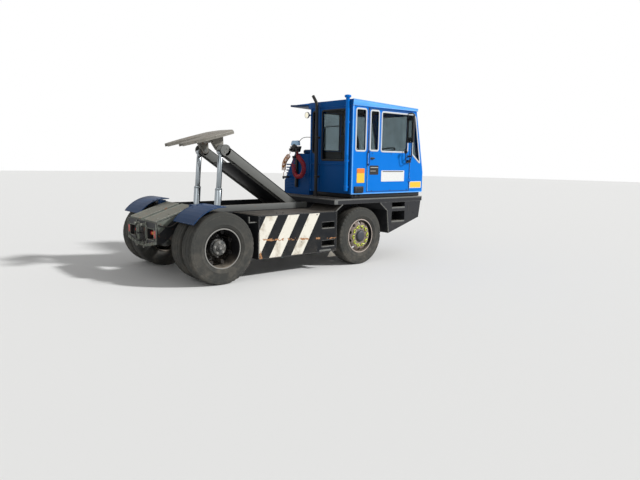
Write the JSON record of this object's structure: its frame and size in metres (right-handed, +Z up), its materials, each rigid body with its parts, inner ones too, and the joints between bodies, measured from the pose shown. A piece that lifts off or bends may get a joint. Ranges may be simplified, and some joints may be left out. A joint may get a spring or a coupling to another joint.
{
  "type": "terminal tractor",
  "caption": "Yard terminal tractor with a one-person offset cab, a raised hydraulic fifth wheel on a lift arm, twin rear wheels and striped side boxes.",
  "frame": {"origin": "on the ground, in the middle of the length and width", "axes": "+X forward, +Y to the driver's left, +Z up"},
  "size_m": [5.19, 2.81, 2.9642],
  "materials": {
    "frame_black": "dusty satin",
    "pin_steel": "worn",
    "worn_steel": "worn, greasy",
    "red_lens": "gloss",
    "cast_dark": "dirty",
    "mudguard_blue": "faded satin",
    "box_black": "satin with rust",
    "deck_black": "satin",
    "lamp_glass": "gloss",
    "cab_blue": "gloss, weathered",
    "cab_inner": "matte",
    "window_glass": "clear",
    "rubber_black": "matte",
    "seat_fabric": "matte",
    "exhaust_steel": "sooty",
    "pipe_black": "satin",
    "mirror_black": "matte",
    "hose_red": "satin",
    "hose_yellow": "satin",
    "spring_steel": "rusty",
    "arm_grey": "weathered",
    "plate_steel": "greasy, worn",
    "barrel_grey": "dirty satin",
    "rod_chrome": "polished",
    "tyre_rubber": "dusty",
    "rim_paint": "dusty, rusty"
  },
  "bodies": {
    "chassis": {"frame_rails": "frame_black", "cross_members": "frame_black", "lift_pins": "pin_steel", "rear_ramps": "worn_steel", "rear_end_plate": "frame_black", "rear_lamp_housings": "frame_black", "rear_lamp_lenses": "red_lens", "rear_axle": "cast_dark", "drive_line": "cast_dark", "rear_mudguards": "mudguard_blue", "side_boxes": "box_black", "front_deck": "deck_black", "bumper_sides": "deck_black", "front_bumper": "deck_black", "arch_liners": "deck_black", "cab_right_side": "cab_blue", "cab_left_side": "cab_blue", "cab_rear_wall": "cab_blue", "cab_front_wall": "cab_blue", "cab_floor": "cab_inner", "cab_roof": "cab_blue", "cab_glass": "window_glass", "cab_mounts": "rubber_black", "seat": "seat_fabric", "driver_controls": "cab_inner", "engine": "cast_dark", "engine_cover": "cab_blue", "exhaust": "exhaust_steel", "intake_pipe": "pipe_black", "lamps": "lamp_glass", "mirror_left": "mirror_black", "hose_stand": "pipe_black", "air_hose_red": "hose_red", "air_hose_yellow": "hose_yellow", "front_axle": "cast_dark", "front_springs": "spring_steel", "frame_brackets": "frame_black"},
    "cab_door": {"cab_door": "cab_blue", "door_glass": "window_glass", "mirror_right": "mirror_black"},
    "engine_hatch": {"engine_hatch": "cab_blue"},
    "lift_arm": {"lift_arm": "arm_grey"},
    "fifth_wheel": {"fifth_wheel": "plate_steel"},
    "tie_rod": {"tie_rod": "cast_dark"},
    "cylinder_barrel_left": {"cylinder_barrel_left": "barrel_grey"},
    "cylinder_sleeve_left": {"cylinder_sleeve_left": "rod_chrome"},
    "cylinder_rod_left": {"cylinder_rod_left": "rod_chrome"},
    "knuckle_left": {"knuckle_left": "cast_dark"},
    "front_wheel_left": {"front_tyre_left": "tyre_rubber", "front_rim_left": "rim_paint"},
    "rear_wheels_left": {"rear_tyres_left": "tyre_rubber", "rear_rims_left": "rim_paint"},
    "cylinder_barrel_right": {"cylinder_barrel_right": "barrel_grey"},
    "cylinder_sleeve_right": {"cylinder_sleeve_right": "rod_chrome"},
    "cylinder_rod_right": {"cylinder_rod_right": "rod_chrome"},
    "knuckle_right": {"knuckle_right": "cast_dark"},
    "front_wheel_right": {"front_tyre_right": "tyre_rubber", "front_rim_right": "rim_paint"},
    "rear_wheels_right": {"rear_tyres_right": "tyre_rubber", "rear_rims_right": "rim_paint"}
  },
  "joints": [
    {"name": "arm_lift", "type": "hinge", "parent": "chassis", "child": "lift_arm", "pos_m": [0.205, 0, 0.97], "axis": [0, -1, 0], "range_deg": [0, 29.5]},
    {"name": "fifth_wheel_level", "type": "hinge", "parent": "lift_arm", "child": "fifth_wheel", "pos_m": [-1.285, 0, 1.95], "axis": [0, 1, 0], "range_deg": [0, 29.5]},
    {"name": "cab_door_swing", "type": "hinge", "parent": "chassis", "child": "cab_door", "pos_m": [2.198, -1.214, 1.95], "axis": [0, 0, 1], "range_deg": [0, 70]},
    {"name": "engine_hatch_lift", "type": "hinge", "parent": "chassis", "child": "engine_hatch", "pos_m": [1.6, 0.45214, 1.90449], "axis": [1, 0, 0], "range_deg": [0, 75]},
    {"name": "tie_rod_shift", "type": "slide", "parent": "chassis", "child": "tie_rod", "axis": [0, -1, 0], "range_m": [-0.12, 0.12]},
    {"name": "cylinder_swing_left", "type": "hinge", "parent": "chassis", "child": "cylinder_barrel_left", "pos_m": [-1.452, 0.35, 0.36], "axis": [0, -1, 0], "range_deg": [0, 16.82]},
    {"name": "sleeve_slide_left", "type": "slide", "parent": "cylinder_barrel_left", "child": "cylinder_sleeve_left", "axis": [-0.0738, 0, -0.9973], "range_m": [0, 0.43]},
    {"name": "rod_slide_left", "type": "slide", "parent": "cylinder_sleeve_left", "child": "cylinder_rod_left", "axis": [-0.0738, 0, -0.9973], "range_m": [0, 0.43945]},
    {"name": "steer_left", "type": "hinge", "parent": "chassis", "child": "knuckle_left", "pos_m": [0.985, 0.87, 0.505], "axis": [0, 0, 1], "range_deg": [-35, 35]},
    {"name": "front_wheel_left_spin", "type": "hinge", "parent": "knuckle_left", "child": "front_wheel_left", "pos_m": [0.985, 1.06, 0.505], "axis": [0, 1, 0], "continuous": true},
    {"name": "rear_wheels_left_spin", "type": "hinge", "parent": "chassis", "child": "rear_wheels_left", "pos_m": [-1.815, 0.935, 0.53], "axis": [0, 1, 0], "continuous": true},
    {"name": "cylinder_swing_right", "type": "hinge", "parent": "chassis", "child": "cylinder_barrel_right", "pos_m": [-1.452, -0.35, 0.36], "axis": [0, -1, 0], "range_deg": [0, 16.82]},
    {"name": "sleeve_slide_right", "type": "slide", "parent": "cylinder_barrel_right", "child": "cylinder_sleeve_right", "axis": [-0.0738, 0, -0.9973], "range_m": [0, 0.43]},
    {"name": "rod_slide_right", "type": "slide", "parent": "cylinder_sleeve_right", "child": "cylinder_rod_right", "axis": [-0.0738, 0, -0.9973], "range_m": [0, 0.43945]},
    {"name": "steer_right", "type": "hinge", "parent": "chassis", "child": "knuckle_right", "pos_m": [0.985, -0.87, 0.505], "axis": [0, 0, 1], "range_deg": [-35, 35]},
    {"name": "front_wheel_right_spin", "type": "hinge", "parent": "knuckle_right", "child": "front_wheel_right", "pos_m": [0.985, -1.06, 0.505], "axis": [0, 1, 0], "continuous": true},
    {"name": "rear_wheels_right_spin", "type": "hinge", "parent": "chassis", "child": "rear_wheels_right", "pos_m": [-1.815, -0.935, 0.53], "axis": [0, 1, 0], "continuous": true}
  ],
  "couplings": [
    {"joint": "fifth_wheel_level", "follows": "arm_lift", "ratio": 1},
    {"joint": "cylinder_swing_left", "follows": "arm_lift", "ratio": 0.57007},
    {"joint": "sleeve_slide_left", "follows": "arm_lift", "m_per_rad": 0.83516},
    {"joint": "rod_slide_left", "follows": "arm_lift", "m_per_rad": 0.85351},
    {"joint": "cylinder_swing_right", "follows": "arm_lift", "ratio": 0.57007},
    {"joint": "sleeve_slide_right", "follows": "arm_lift", "m_per_rad": 0.83516},
    {"joint": "rod_slide_right", "follows": "arm_lift", "m_per_rad": 0.85351},
    {"joint": "steer_right", "follows": "steer_left", "ratio": 1},
    {"joint": "tie_rod_shift", "follows": "steer_left", "m_per_rad": 0.19}
  ]
}
